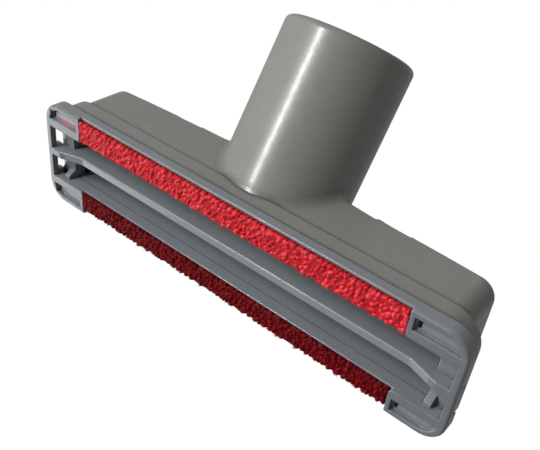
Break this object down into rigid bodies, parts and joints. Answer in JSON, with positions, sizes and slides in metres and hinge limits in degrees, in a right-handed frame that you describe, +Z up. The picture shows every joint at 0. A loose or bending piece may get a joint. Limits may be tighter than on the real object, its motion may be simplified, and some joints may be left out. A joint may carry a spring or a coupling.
{
  "type": "vacuum upholstery nozzle",
  "caption": "Long box head with a split suction mouth, red pile strips along its edges and a leaning socket for a vacuum cleaner's tube; used to clean upholstery.",
  "frame": {"origin": "on the surface that the pile strips stand on, under the middle of the object's footprint", "axes": "+X along the head, +Y towards the back of the head and away from the tube's open end, +Z up, away from the upholstery"},
  "size_m": [0.145, 0.0736, 0.0669],
  "materials": {
    "housing_plastic": "satin moulded, warm grey",
    "sole_plastic": "satin moulded, blue grey",
    "red_pile": "directional looped pile"
  },
  "bodies": {
    "root": {"upper_housing": "housing_plastic", "sole_plate": "sole_plastic", "lint_strip_front": "red_pile", "lint_strip_rear": "red_pile"}
  },
  "joints": []
}
